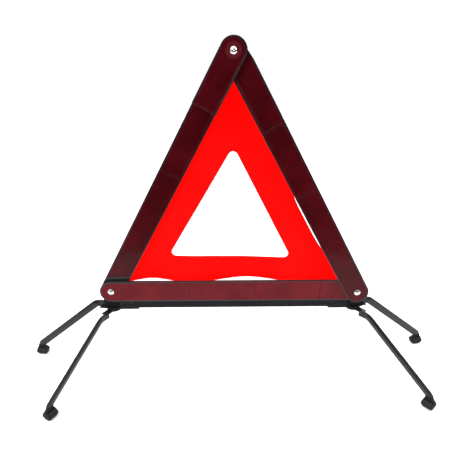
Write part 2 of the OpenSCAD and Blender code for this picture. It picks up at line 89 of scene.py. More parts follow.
def new_group(name, inputs, outputs):
    """A shader node group with named sockets: inputs are (name, default), outputs names."""
    group = bpy.data.node_groups.new(name, "ShaderNodeTree")
    for label, default in inputs:
        kind = "NodeSocketVector" if label == "Vector" else "NodeSocketFloat"
        socket = group.interface.new_socket(label, in_out="INPUT", socket_type=kind)
        if default is not None:
            socket.default_value = default
    for label in outputs:
        group.interface.new_socket(label, in_out="OUTPUT", socket_type="NodeSocketFloat")
    return group, group.nodes.new("NodeGroupInput"), group.nodes.new("NodeGroupOutput")


class Wiring:
    """Short calls that add nodes to one tree and join them."""

    def __init__(self, tree):
        self.tree = tree

    def put(self, socket, value):
        if isinstance(value, bpy.types.NodeSocket):
            self.tree.links.new(value, socket)
        else:
            socket.default_value = value

    def node(self, kind, settings=None, **inputs):
        made = self.tree.nodes.new(kind)
        for name, value in (settings or {}).items():
            setattr(made, name, value)
        for name, value in inputs.items():
            self.put(made.inputs[name.replace("_", " ")], value)
        return made

    def math(self, operation, a, b=None, c=None, clamp=False):
        made = self.tree.nodes.new("ShaderNodeMath")
        made.operation = operation
        made.use_clamp = clamp
        for socket, value in zip(made.inputs, (a, b, c)):
            if value is not None:
                self.put(socket, value)
        return made.outputs[0]

    def vector_math(self, operation, a, b=None):
        made = self.tree.nodes.new("ShaderNodeVectorMath")
        made.operation = operation
        self.put(made.inputs[0], a)
        if b is not None:
            self.put(made.inputs[1], b)
        return made.outputs["Value" if operation in ("DOT_PRODUCT", "LENGTH") else "Vector"]

    def noise(self, vector, scale, detail=2.0, roughness=0.5):
        made = self.node("ShaderNodeTexNoise", Scale=scale, Detail=detail, Roughness=roughness)
        self.put(made.inputs["Vector"], vector)
        return made.outputs["Fac"]

    def remap(self, value, low, high, to_low=0.0, to_high=1.0):
        made = self.tree.nodes.new("ShaderNodeMapRange")
        made.interpolation_type = "SMOOTHSTEP"
        for name, number in (("From Min", low), ("From Max", high),
                             ("To Min", to_low), ("To Max", to_high)):
            self.put(made.inputs[name], number)
        self.put(made.inputs["Value"], value)
        return made.outputs[0]

    def mix(self, factor, first, second):
        made = self.tree.nodes.new("ShaderNodeMix")
        made.data_type = "RGBA"
        self.put(made.inputs["Factor"], factor)
        for socket, value in ((made.inputs["A"], first), (made.inputs["B"], second)):
            if not isinstance(value, bpy.types.NodeSocket):
                value = (*value, 1.0)
            self.put(socket, value)
        return made.outputs["Result"]

    def group(self, group, **inputs):
        made = self.tree.nodes.new("ShaderNodeGroup")
        made.node_tree = group
        for name, value in inputs.items():
            self.put(made.inputs[name.replace("_", " ")], value)
        return made.outputs

    def bump(self, height, strength, distance):
        made = self.node("ShaderNodeBump", Strength=strength, Distance=distance)
        self.put(made.inputs["Height"], height)
        return made.outputs["Normal"]


# ---------------------------------------------------------------- shared effects

def moulded_grain_group():
    """The fine, even grain that a spark-eroded mould leaves on plastic or rubber."""
    group, given, out = new_group(
        "moulded_grain", [("Vector", None), ("Grain Size", 0.0005)], ["Height"])
    w = Wiring(group)
    scale = w.math("DIVIDE", 1.0, given.outputs["Grain Size"])
    fine = w.noise(given.outputs["Vector"], scale, detail=3.0, roughness=0.6)
    broad = w.noise(given.outputs["Vector"], w.math("MULTIPLY", scale, 0.23), detail=1.0)
    w.put(out.inputs["Height"], w.math("MULTIPLY_ADD", broad, 0.4, fine))
    return group


def edge_wear_group():
    """A mask of rubbed edges, broken up by noise."""
    group, given, out = new_group(
        "edge_wear", [("Vector", None), ("Radius", 0.0006), ("Amount", 0.5)], ["Mask"])
    w = Wiring(group)
    rounded = w.node("ShaderNodeBevel", {"samples": 4}, Radius=given.outputs["Radius"])
    geometry = w.node("ShaderNodeNewGeometry")
    likeness = w.vector_math("DOT_PRODUCT", rounded.outputs["Normal"], geometry.outputs["Normal"])
    edge = w.remap(w.math("SUBTRACT", 1.0, likeness), 0.02, 0.2)
    patches = w.remap(w.noise(given.outputs["Vector"], 260.0, detail=4.0), 0.42, 0.62)
    worn = w.math("MULTIPLY", edge, patches)
    w.put(out.inputs["Mask"], w.math("MULTIPLY", worn, given.outputs["Amount"], clamp=True))
    return group


def dust_group():
    """A mask of dust that lies on whatever faces up."""
    group, given, out = new_group("dust", [("Vector", None), ("Amount", 0.3)], ["Mask"])
    w = Wiring(group)
    geometry = w.node("ShaderNodeNewGeometry")
    up = w.node("ShaderNodeSeparateXYZ", Vector=geometry.outputs["Normal"]).outputs["Z"]
    settled = w.remap(up, -0.1, 1.0, 0.12, 1.0)
    drifts = w.remap(w.noise(given.outputs["Vector"], 45.0, detail=5.0, roughness=0.65), 0.35, 0.8)
    specks = w.remap(w.noise(given.outputs["Vector"], 900.0, detail=1.0), 0.62, 0.74)
    both = w.math("ADD", drifts, w.math("MULTIPLY", specks, 0.6))
    lying = w.math("MULTIPLY", settled, both)
    w.put(out.inputs["Mask"], w.math("MULTIPLY", lying, given.outputs["Amount"], clamp=True))
    return group


def scuffs_group():
    """A mask of fine scratches, drawn out along X of the vector that goes in."""
    group, given, out = new_group("scuffs", [("Vector", None), ("Amount", 0.5)], ["Mask"])
    w = Wiring(group)
    drawn = w.vector_math("MULTIPLY", given.outputs["Vector"], (18.0, 900.0, 900.0))
    threads = w.remap(w.noise(drawn, 1.0, detail=3.0, roughness=0.7), 0.57, 0.72)
    where = w.remap(w.noise(given.outputs["Vector"], 22.0, detail=2.0), 0.4, 0.65)
    mask = w.math("MULTIPLY", threads, where)
    w.put(out.inputs["Mask"], w.math("MULTIPLY", mask, given.outputs["Amount"], clamp=True))
    return group


def prism_cells_group():
    """Corner prisms behind a reflector's face, as rows of small three-sided pyramids."""
    group, given, out = new_group(
        "prism_cells", [("Vector", None), ("Cell", 0.0024)], ["Height", "Facet"])
    w = Wiring(group)
    rows = []
    for turn in (0, 60, 120):
        across = (math.cos(math.radians(turn)), math.sin(math.radians(turn)), 0)
        along = w.vector_math("DOT_PRODUCT", given.outputs["Vector"], across)
        rows.append(w.math("PINGPONG", w.math("DIVIDE", along, given.outputs["Cell"]), 0.5))
    lowest = w.math("MINIMUM", w.math("MINIMUM", rows[0], rows[1]), rows[2])
    facet = w.math("GREATER_THAN", rows[0], rows[1])
    other = w.math("GREATER_THAN", rows[1], rows[2])
    w.put(out.inputs["Height"], lowest)
    w.put(out.inputs["Facet"], w.math("MULTIPLY_ADD", other, 0.5, w.math("MULTIPLY", facet, 0.5)))
    return group


def woven_cloth_group():
    """A plain weave: threads that pass over and under each other, and their uneven dye."""
    group, given, out = new_group(
        "woven_cloth", [("Vector", None), ("Thread", 0.00045)], ["Height", "Dye"])
    w = Wiring(group)
    wobble = w.node("ShaderNodeTexNoise", Scale=160.0, Detail=1.0)
    w.put(wobble.inputs["Vector"], given.outputs["Vector"])
    sway = w.vector_math("MULTIPLY", wobble.outputs["Color"], (0.0002, 0.0002, 0.0))
    laid = w.vector_math("ADD", given.outputs["Vector"], sway)
    parts = w.node("ShaderNodeSeparateXYZ", Vector=laid)
    turn = w.math("DIVIDE", math.pi, given.outputs["Thread"])
    across = w.math("MULTIPLY", parts.outputs["X"], turn)
    along = w.math("MULTIPLY", parts.outputs["Y"], turn)
    warp = w.math("ABSOLUTE", w.math("SINE", across))
    weft = w.math("ABSOLUTE", w.math("SINE", along))
    over = w.math("MULTIPLY", w.math("SINE", w.math("MULTIPLY", across, 0.5)),
                  w.math("SINE", w.math("MULTIPLY", along, 0.5)))
    share = w.remap(over, -0.35, 0.35)
    raised = w.math("ADD", w.math("MULTIPLY", warp, share),
                    w.math("MULTIPLY", weft, w.math("SUBTRACT", 1.0, share)))
    w.put(out.inputs["Height"], raised)
    drawn = w.vector_math("MULTIPLY", given.outputs["Vector"], (40.0, 1500.0, 1.0))
    streaks = w.noise(drawn, 1.0, detail=3.0)
    broad = w.noise(given.outputs["Vector"], 14.0, detail=3.0)
    w.put(out.inputs["Dye"], w.math("MULTIPLY_ADD", streaks, 0.4, w.math("MULTIPLY", broad, 0.6)))
    return group


def brushed_group():
    """Fine drawing lines along X of the vector that goes in, as on rolled or brushed steel."""
    group, given, out = new_group("brushed", [("Vector", None)], ["Line", "Cloud"])
    w = Wiring(group)
    drawn = w.vector_math("MULTIPLY", given.outputs["Vector"], (12.0, 2600.0, 2600.0))
    w.put(out.inputs["Line"], w.noise(drawn, 1.0, detail=4.0, roughness=0.6))
    w.put(out.inputs["Cloud"], w.noise(given.outputs["Vector"], 60.0, detail=4.0))
    return group


GRAIN = moulded_grain_group()
WEAR = edge_wear_group()
DUST = dust_group()
SCUFFS = scuffs_group()
PRISMS = prism_cells_group()
WEAVE = woven_cloth_group()
BRUSHED = brushed_group()


# ---------------------------------------------------------------- materials

def start_material(name, roughness=0.5, metallic=0.0):
    """A new material and its wiring, shader and object coordinates."""
    material = bpy.data.materials.new(name)
    material.use_nodes = True
    tree = material.node_tree
    shader = tree.nodes["Principled BSDF"]
    shader.inputs["Roughness"].default_value = roughness
    shader.inputs["Metallic"].default_value = metallic
    w = Wiring(tree)
    place = w.node("ShaderNodeTexCoord").outputs["Object"]
    return material, w, shader, place


def turned_place(w, place, angle, centre):
    """Object coordinates about a point, turned so that X runs along the piece, with Z out of its face."""
    mapping = w.node("ShaderNodeMapping", {"vector_type": "TEXTURE"})
    w.put(mapping.inputs["Vector"], place)
    mapping.inputs["Location"].default_value = centre
    mapping.inputs["Rotation"].default_value = (math.radians(90), -angle, 0)
    return mapping.outputs["Vector"]


def moulded_black(name, tone, gloss, wear=0.25, dust=0.04):
    """Black ABS: fine mould grain, paler rubbed edges and a little dust."""
    material, w, shader, place = start_material(name, roughness=gloss)
    grain = w.group(GRAIN, Vector=place, Grain_Size=0.00045)["Height"]
    worn = w.group(WEAR, Vector=place, Radius=0.0007, Amount=wear)["Mask"]
    dusty = w.group(DUST, Vector=place, Amount=dust)["Mask"]
    clouds = w.remap(w.noise(place, 30.0, detail=3.0), 0.3, 0.7)
    plain = w.mix(clouds, tone, [channel * 1.45 for channel in tone])
    rubbed = w.mix(worn, plain, (0.12, 0.12, 0.13))
    w.put(shader.inputs["Base Color"], w.mix(dusty, rubbed, (0.2, 0.19, 0.18)))
    rough = w.math("MULTIPLY_ADD", grain, 0.18, gloss - 0.12)
    w.put(shader.inputs["Roughness"], w.math("MULTIPLY_ADD", dusty, 0.3, rough, clamp=True))
    w.put(shader.inputs["Normal"], w.bump(grain, 0.35, 0.00006))
    return material


def painted_steel(name, tone, gloss, shine, angle=0.0, centre=(0, 0, 0)):
    """Sheet steel under a thin black paint: orange peel, scratches, bare metal at sharp edges."""
    material, w, shader, place = start_material(name, roughness=gloss)
    along = turned_place(w, place, angle, centre)
    peel = w.noise(place, 700.0, detail=2.0)
    worn = w.group(WEAR, Vector=place, Radius=0.0005, Amount=0.4)["Mask"]
    scratched = w.group(SCUFFS, Vector=along, Amount=0.25)["Mask"]
    dusty = w.group(DUST, Vector=place, Amount=0.03)["Mask"]
    clouds = w.remap(w.noise(place, 38.0, detail=3.0), 0.3, 0.7)
    paint = w.mix(clouds, tone, [channel * 1.5 for channel in tone])
    rubbed = w.mix(w.math("MAXIMUM", worn, w.math("MULTIPLY", scratched, 0.5)),
                   paint, (0.32, 0.33, 0.35))
    w.put(shader.inputs["Base Color"], w.mix(dusty, rubbed, (0.25, 0.24, 0.22)))
    w.put(shader.inputs["Metallic"], w.math("MULTIPLY", worn, 0.8))
    rough = w.math("MULTIPLY_ADD", clouds, 0.1, gloss - 0.05)
    w.put(shader.inputs["Roughness"], w.math("MULTIPLY_ADD", scratched, 0.25, rough))
    w.put(shader.inputs["Normal"], w.bump(peel, 0.25, 0.00008))
    shader.inputs["Specular IOR Level"].default_value = shine
    return material


def bright_metal(name, tone, gloss, angle=0.0, centre=(0, 0, 0), cloudy=0.35):
    """Plated or brushed steel with drawing lines, faint clouds and scratches."""
    material, w, shader, place = start_material(name, roughness=gloss, metallic=1.0)
    along = turned_place(w, place, angle, centre)
    lines = w.group(BRUSHED, Vector=along)
    scratched = w.group(SCUFFS, Vector=along, Amount=0.5)["Mask"]
    shade = w.remap(lines["Cloud"], 0.3, 0.7)
    darker = [channel * (1 - cloudy) for channel in tone]
    plated = w.mix(shade, darker, tone)
    w.put(shader.inputs["Base Color"], w.mix(scratched, plated, [c * 0.7 for c in tone]))
    rough = w.math("MULTIPLY_ADD", lines["Line"], 0.16, gloss - 0.08)
    w.put(shader.inputs["Roughness"], w.math("MULTIPLY_ADD", shade, 0.08, rough))
    w.put(shader.inputs["Normal"], w.bump(lines["Line"], 0.25, 0.00004))
    return material


def red_reflector(name, angle, centre, deep_tone, pale_tone, ring_centre=None):
    """Clear red reflector: prisms behind a smooth gloss face, deep maroon where no light comes back, and
    one facet of each prism cell coloured paler as painted light.
    """
    material, w, shader, place = start_material(name, roughness=0.32)
    along = turned_place(w, place, angle, centre)
    prisms = w.group(PRISMS, Vector=along, Cell=0.0023)
    dusty = w.group(DUST, Vector=place, Amount=0.03)["Mask"]
    worn = w.group(WEAR, Vector=place, Radius=0.0005, Amount=0.6)["Mask"]
    scratched = w.group(SCUFFS, Vector=along, Amount=0.12)["Mask"]
    pressings = w.remap(w.noise(place, 16.0, detail=3.0, roughness=0.6), 0.35, 0.65)
    speckle = w.remap(w.noise(place, 620.0, detail=2.0), 0.45, 0.75)
    deep = w.mix(pressings, deep_tone, pale_tone)
    # Painted light: one facet of each prism cell is coloured paler, as if it caught the light.
    lit = w.mix(w.math("MULTIPLY", prisms["Facet"], 0.3), deep, [tone * 1.6 for tone in pale_tone])
    dotted = w.mix(w.math("MULTIPLY", speckle, 0.25), lit, [tone * 2.5 for tone in pale_tone])
    if ring_centre is not None:
        away = w.vector_math("LENGTH", w.vector_math("SUBTRACT", place, ring_centre))
        inside = w.remap(away, 0.0112, 0.0100)
        dotted = w.mix(w.math("MULTIPLY", inside, 0.3), dotted, (0.20, 0.03, 0.04))
    edged = w.mix(w.math("MAXIMUM", worn, w.math("MULTIPLY", scratched, 0.5)),
                  dotted, (0.30, 0.06, 0.075))
    w.put(shader.inputs["Base Color"], w.mix(dusty, edged, (0.30, 0.20, 0.19)))
    w.put(shader.inputs["Roughness"], w.math("MULTIPLY_ADD", speckle, 0.12, 0.28))
    w.put(shader.inputs["Normal"], w.bump(prisms["Height"], 0.55, 0.0005))
    shader.inputs["IOR"].default_value = 1.49
    shader.inputs["Specular IOR Level"].default_value = 0.06
    shader.inputs["Coat Weight"].default_value = 0.15
    shader.inputs["Coat Roughness"].default_value = 0.12
    return material


def fluorescent_cloth(name, cloth_map):
    """Day-glow woven polyester with a painted glow: a fixed red emission, the same under any light,
    stands in for its fluorescent brightness.
    """
    material, w, shader, place = start_material(name, roughness=0.75)
    spread = w.node("ShaderNodeUVMap", {"uv_map": cloth_map}).outputs["UV"] if cloth_map else place
    weave = w.group(WEAVE, Vector=spread, Thread=0.0006)
    dye = w.remap(weave["Dye"], 0.3, 0.7)
    bright = w.mix(dye, (0.93, 0.002, 0.002), (1.0, 0.005, 0.004))
    # Painted shade: the weave's low points are coloured darker, in the base colour and in the glow.
    weave_painted_shade = w.remap(weave["Height"], 0.05, 0.5)
    w.put(shader.inputs["Base Color"], w.mix(weave_painted_shade, (0.72, 0.001, 0.001), bright))
    # Painted glow: the cloth emits red light though it is no lamp.
    w.put(shader.inputs["Emission Color"], w.mix(weave_painted_shade, (0.66, 0.0, 0.0), (1.0, 0.0008, 0.0004)))
    shader.inputs["Emission Strength"].default_value = 0.75
    shader.inputs["Specular IOR Level"].default_value = 0.02
    w.put(shader.inputs["Normal"], w.bump(weave["Height"], 0.5, 0.00012))
    return material


def black_rubber(name):
    """Matt moulded rubber with a grey bloom and dust."""
    material, w, shader, place = start_material(name, roughness=0.7)
    grain = w.group(GRAIN, Vector=place, Grain_Size=0.0006)["Height"]
    worn = w.group(WEAR, Vector=place, Radius=0.0009, Amount=0.4)["Mask"]
    dusty = w.group(DUST, Vector=place, Amount=0.05)["Mask"]
    bloom = w.remap(w.noise(place, 120.0, detail=3.0), 0.4, 0.7)
    plain = w.mix(bloom, (0.003, 0.003, 0.0033), (0.007, 0.0065, 0.007))
    rubbed = w.mix(worn, plain, (0.025, 0.025, 0.025))
    w.put(shader.inputs["Base Color"], w.mix(dusty, rubbed, (0.16, 0.15, 0.14)))
    w.put(shader.inputs["Roughness"], w.math("MULTIPLY_ADD", grain, 0.2, 0.55))
    w.put(shader.inputs["Normal"], w.bump(grain, 0.5, 0.0001))
    shader.inputs["Specular IOR Level"].default_value = 0.25
    return material


def nylon_white(name):
    """Natural nylon: milky, a little see-through and faintly yellow."""
    material, w, shader, place = start_material(name, roughness=0.4)
    clouds = w.remap(w.noise(place, 150.0, detail=3.0), 0.3, 0.7)
    w.put(shader.inputs["Base Color"], w.mix(clouds, (0.50, 0.49, 0.44), (0.66, 0.65, 0.60)))
    grain = w.group(GRAIN, Vector=place, Grain_Size=0.0004)["Height"]
    w.put(shader.inputs["Roughness"], w.math("MULTIPLY_ADD", grain, 0.15, 0.3))
    w.put(shader.inputs["Normal"], w.bump(grain, 0.3, 0.00005))
    return material


def floor_paper(name):
    """Plain pale paper with a faint tooth."""
    material, w, shader, place = start_material(name, roughness=0.9)
    tooth = w.noise(place, 900.0, detail=3.0)
    clouds = w.noise(place, 3.0, detail=2.0)
    w.put(shader.inputs["Base Color"], w.mix(clouds, (0.90, 0.90, 0.90), (0.93, 0.93, 0.93)))
    w.put(shader.inputs["Normal"], w.bump(tooth, 0.1, 0.0001))
    return material


def give(obj, material):
    obj.data.materials.clear()
    obj.data.materials.append(material)
    for face in obj.data.polygons:
        face.material_index = 0


ARM_DEEP = (0.030, 0.0010, 0.0022)
ARM_PALE = (0.062, 0.0020, 0.0045)
# The base lens is the same red plastic as the arm lenses. Its paler, pinker tones are a painted
# reflection of the pale floor.
BAR_DEEP_WITH_FLOOR_REFLECTION = (0.075, 0.0020, 0.0050)
BAR_PALE_WITH_FLOOR_REFLECTION = (0.125, 0.0045, 0.0085)
HOUSING_BLACK = moulded_black("housing_black", (0.004, 0.0042, 0.006), 0.4)
HEM_BLACK = moulded_black("hem_black", (0.014, 0.014, 0.016), 0.5, wear=0.2)
RAIL_GREY = painted_steel("rail_grey", (0.004, 0.0035, 0.006), 0.4, 0.13)
BRACKET_BLACK = painted_steel("bracket_black", (0.002, 0.002, 0.0025), 0.5, 0.08)
CAP_RUBBER = black_rubber("cap_rubber")
WASHER_NYLON = nylon_white("washer_nylon")
RIVET_BRIGHT = bright_metal("rivet_bright", (0.82, 0.82, 0.84), 0.26, cloudy=0.12)
SWIVEL_STEEL = bright_metal("swivel_steel", (0.28, 0.28, 0.30), 0.34)
STUD_NICKEL = bright_metal("stud_nickel", (0.86, 0.85, 0.84), 0.18, cloudy=0.1)
TAB_CLOTH = fluorescent_cloth("tab_cloth", None)
PANEL_CLOTH = fluorescent_cloth("panel_cloth", "cloth")
# Base lens: its paler tones are a painted reflection of the floor.
LENS_BASE = red_reflector("lens_base", 0.0, LEFT_PIVOT, BAR_DEEP_WITH_FLOOR_REFLECTION, BAR_PALE_WITH_FLOOR_REFLECTION)
LENS_LEFT = red_reflector("lens_left", ARM_ANGLE, LEFT_PIVOT, ARM_DEEP, ARM_PALE)
LENS_RIGHT = red_reflector("lens_right", math.pi - ARM_ANGLE, RIGHT_PIVOT, ARM_DEEP, ARM_PALE)
LENS_CATCH = red_reflector("lens_catch", ARM_ANGLE, LEFT_PIVOT, ARM_DEEP, ARM_PALE,
                           ring_centre=Vector((APEX.x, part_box("apex_catch_lens")[0].y, APEX.z)))
STRIP_BASE = bright_metal("strip_base", (0.52, 0.53, 0.55), 0.36, centre=LEFT_PIVOT)
STRIP_LEFT = bright_metal("strip_left", (0.52, 0.53, 0.55), 0.36, ARM_ANGLE, LEFT_PIVOT)
STRIP_RIGHT = bright_metal("strip_right", (0.52, 0.53, 0.55), 0.36,
                           math.pi - ARM_ANGLE, RIGHT_PIVOT)

FINISHES = {
    "base_housing": HOUSING_BLACK,
    "left_arm_housing": HOUSING_BLACK,
    "right_arm_housing": HOUSING_BLACK,
    "apex_catch": HOUSING_BLACK,
    "base_backing": STRIP_BASE,
    "left_arm_backing": STRIP_LEFT,
    "right_arm_backing": STRIP_RIGHT,
    "base_rail": RAIL_GREY,
    "left_bracket": BRACKET_BLACK,
    "right_bracket": BRACKET_BLACK,
    "rail_screws": RIVET_BRIGHT,
    "rail_rivets": BRACKET_BLACK,
    "hem_rivets": RIVET_BRIGHT,
    "left_pivot_rivet": RIVET_BRIGHT,
    "right_pivot_rivet": RIVET_BRIGHT,
    "right_pivot_spacer": WASHER_NYLON,
    "left_pivot_washer": WASHER_NYLON,
    "left_swivel_washers": WASHER_NYLON,
    "right_swivel_washers": WASHER_NYLON,
    "panel_corner_tab": TAB_CLOTH,
    "apex_stud": STUD_NICKEL,
    "apex_socket": STUD_NICKEL,
    "panel_hem_strip": HEM_BLACK,
    "left_swivel_rivet": SWIVEL_STEEL,
    "right_swivel_rivet": SWIVEL_STEEL,
}

# Width of the rounded edge that each rigid frame piece is given
SOFT_EDGES = {
    "base_housing": 0.45 * MM,
    "left_arm_housing": 0.45 * MM,
    "right_arm_housing": 0.45 * MM,
    "apex_catch": 0.4 * MM,
    "base_rail": 0.25 * MM,
    "left_bracket": 0.35 * MM,
    "right_bracket": 0.35 * MM,
    "panel_hem_strip": 0.25 * MM,
}


def dress_frame_nodes():
    """Gives every frame node that stays its finish, and the moulded ones a rounded edge."""
    for name, material in FINISHES.items():
        node = NODES[name]
        give(node, material)
        weld = node.modifiers.new("weld", "WELD")
        weld.merge_threshold = 0.002 * MM
        if name in SOFT_EDGES:
            bevel = node.modifiers.new("soft_edge", "BEVEL")
            bevel.width = SOFT_EDGES[name]
            bevel.segments = 2
            bevel.limit_method = "ANGLE"
            bevel.angle_limit = math.radians(40)
        normals = node.modifiers.new("even_normals", "WEIGHTED_NORMAL")
        normals.keep_sharp = True


# ---------------------------------------------------------------- mesh helpers

def finish_piece(bm, name, material, body, smooth=True):
    """Turns a bmesh into a piece that rides on its body."""
    mesh = bpy.data.meshes.new(name)
    bm.to_mesh(mesh)
    bm.free()
    piece = bpy.data.objects.new(name, mesh)
    bpy.context.scene.collection.objects.link(piece)
    for face in mesh.polygons:
        face.use_smooth = smooth
    give(piece, material)
    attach(piece, body)
    return piece


def soften(piece, width, segments=2, angle=35):
    """Rounds a piece's sharp edges and keeps its flat faces flat."""
    bevel = piece.modifiers.new("soft_edge", "BEVEL")
    bevel.width = width
    bevel.segments = segments
    bevel.limit_method = "ANGLE"
    bevel.angle_limit = math.radians(angle)
    normals = piece.modifiers.new("even_normals", "WEIGHTED_NORMAL")
    normals.keep_sharp = True
    return piece


def merged_copy(node):
    """A bmesh copy of a frame node, with its loose triangles merged into whole flat faces."""
    bm = bmesh.new()
    bm.from_mesh(NODES[node].data)
    bmesh.ops.remove_doubles(bm, verts=bm.verts, dist=0.002 * MM)
    bmesh.ops.dissolve_limit(bm, angle_limit=math.radians(1), verts=bm.verts, edges=bm.edges,
                             use_dissolve_boundaries=False)
    return bm


# ---------------------------------------------------------------- reflector lenses

LENS_BORDER = 1.5 * MM
LENS_SINK = 0.28 * MM


def rimmed_lens(node, material, body):
    """The node's tiles, each with a raised smooth border round its sunk prism field."""
    bm = merged_copy(node)
    front = [face for face in bm.faces if face.normal.y < -0.99]
    bmesh.ops.inset_region(bm, faces=front, thickness=LENS_BORDER, depth=0.0,
                           use_boundary=True, use_even_offset=True)
    bmesh.ops.inset_region(bm, faces=front, thickness=0.25 * MM, depth=-LENS_SINK,
                           use_boundary=True, use_even_offset=True)
    piece = finish_piece(bm, node.replace("lens", "reflector"), material, body,
                         smooth=False)
    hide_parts(node)
    return soften(piece, 0.22 * MM, angle=30)


# ---------------------------------------------------------------- fluorescent panel

OPENING_LOW = 57 * MM
OPENING_HIGH = 227 * MM
OPENING_WIDTH = 198 * MM
OPENING_CORNER = 7 * MM
SIDE_POINTS = 26
CORNER_POINTS = 6
PANEL_RINGS = 9


def rounded_triangle(corners, radius):
    """Points round a triangle with rounded corners, the same number on each side and corner."""
    points = []
    for i, corner in enumerate(corners):
        before, after = corners[i - 1], corners[(i + 1) % 3]
        to_before, to_after = (before - corner).normalized(), (after - corner).normalized()
        half = math.acos(max(-1, min(1, to_before.dot(to_after)))) / 2
        hub = corner + (to_before + to_after).normalized() * radius / math.sin(half)
        first = corner + to_before * radius / math.tan(half)
        last = corner + to_after * radius / math.tan(half)
        start, end = first - hub, last - hub
        sweep = start.angle_signed(end)
        for step in range(CORNER_POINTS + 1):
            turned = start.copy()
            turned.rotate(Matrix.Rotation(-sweep * step / CORNER_POINTS, 2))
            points.append(hub + turned)
        next_corner = corners[(i + 1) % 3]
        to_next = (next_corner - corner).normalized()
        next_half = math.acos(max(-1, min(1, (-to_next).dot(
            (corners[(i + 2) % 3] - next_corner).normalized())))) / 2
        next_first = next_corner - to_next * radius / math.tan(next_half)
        for step in range(1, SIDE_POINTS):
            points.append(last.lerp(next_first, step / SIDE_POINTS))
    return points


def panel_corners(inset):
    """Corners of the cloth: lower left, lower right and top, inset from the arms' centre lines."""
    rise = APEX.z - inset / math.cos(ARM_ANGLE)
    low_z = PANEL_LOW.z
    half = (rise - low_z) / math.tan(ARM_ANGLE)
    return [Vector((APEX.x - half, low_z)), Vector((APEX.x + half, low_z)), Vector((APEX.x, rise))]


def slack(x, z):
    """How far a point of the cloth is moved in its plane by its loose right and lower edges."""
    right = Vector((APEX.x - RIGHT_PIVOT.x, APEX.z - RIGHT_PIVOT.z))
    length = right.length
    right.normalize()
    rel = Vector((x - RIGHT_PIVOT.x, z - RIGHT_PIVOT.z))
    along = rel.dot(right) / length
    across = rel.cross(right)
    bow = 12.2 * MM * smooth_step(0.06, 0.26, along) * (1 - smooth_step(0.38, 0.66, along))
    bow *= 1 - smooth_step(10 * MM, 70 * MM, abs(across))
    share = (x - LEFT_PIVOT.x) / (RIGHT_PIVOT.x - LEFT_PIVOT.x)
    waves = (5.2 * bump_at(share, 0.17, 0.11) + 6.5 * bump_at(share, 0.55, 0.17)
             - 1.5 * bump_at(share, 0.34, 0.06) + 1.2 * bump_at(share, 0.9, 0.05)) * MM
    lift = waves * (1 - smooth_step(2 * MM, 48 * MM, z - PANEL_LOW.z))
    return -bow, lift


def smooth_step(low, high, value):
    share = max(0.0, min(1.0, (value - low) / (high - low)))
    return share * share * (3 - 2 * share)


def bump_at(value, centre, half_width):
    """A smooth bump of height 1 about centre."""
    share = min(1.0, abs(value - centre) / half_width)
    return (1 + math.cos(math.pi * share)) / 2


def cloth_billow(x, z):
    """How far the cloth stands out towards the back, flat where the left arm's strip holds it."""
    from_left = (x - LEFT_PIVOT.x) * math.sin(ARM_ANGLE) - (z - LEFT_PIVOT.z) * math.cos(ARM_ANGLE)
    free = smooth_step(HALF_HOUSING + 1 * MM, HALF_HOUSING + 40 * MM, from_left)
    broad = noise.noise(Vector((x * 9, z * 7, 2.4))) * 3.4 * MM
    drawn = noise.noise(Vector((x * 26 + z * 12, z * 30 - x * 9, 7.9))) * 0.9 * MM
    sag = 1.6 * MM * math.sin((x - LEFT_PIVOT.x) * 31) * (1 - smooth_step(0, 60 * MM,
                                                                        z - PANEL_LOW.z))
    return free * (broad + drawn + sag)


def warning_panel():
    """One sheet of cloth between the arms, with a rounded opening, loose at its right and lower edges."""
    panel_tuck_line = 9 * MM
    outer_corners = panel_corners(panel_tuck_line)
    base = LEFT_PIVOT.z
    mid = APEX.x
    inner_corners = [
        Vector((mid - OPENING_WIDTH / 2 - 4.2 * MM, base + OPENING_LOW + 3 * MM)),
        Vector((mid + OPENING_WIDTH / 2 - 6.8 * MM, base + OPENING_LOW - 1 * MM)),
        Vector((mid, base + OPENING_HIGH + 7 * MM)),
    ]
    outer = rounded_triangle(outer_corners, 2 * MM)
    inner = rounded_triangle(inner_corners, OPENING_CORNER)
    depth = (PANEL_LOW.y + PANEL_HIGH.y) / 2
    bm = bmesh.new()
    loops = []
    for outline in (outer, inner):
        ring = [bm.verts.new((p.x, depth, p.y)) for p in outline]
        loops.append([bm.edges.new((a, b)) for a, b in zip(ring, ring[1:] + ring[:1])])
    bmesh.ops.bridge_loops(bm, edges=loops[0] + loops[1])
    spokes = [edge for edge in bm.edges if edge not in loops[0] and edge not in loops[1]]
    bmesh.ops.subdivide_edges(bm, edges=spokes, cuts=PANEL_RINGS, use_grid_fill=True)
    cloth = bm.loops.layers.uv.new("cloth")
    for face in bm.faces:
        for corner in face.loops:
            corner[cloth].uv = (corner.vert.co.x, corner.vert.co.z)
    for vertex in bm.verts:
        x, z = vertex.co.x, vertex.co.z
        shift_x, shift_z = slack(x, z)
        vertex.co.y += cloth_billow(x, z)
        vertex.co.x += shift_x
        vertex.co.z += shift_z
    bmesh.ops.recalc_face_normals(bm, faces=bm.faces)
    flat_area = sum(face.calc_area() for face in bm.faces)
    piece = finish_piece(bm, "warning_panel", PANEL_CLOTH, "base")
    solid = piece.modifiers.new("cloth_thickness", "SOLIDIFY")
    solid.thickness = PANEL_HIGH.y - PANEL_LOW.y
    solid.offset = 0.0
    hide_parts("fluorescent_panel")
    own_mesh(piece)
    return piece


# ---------------------------------------------------------------- legs

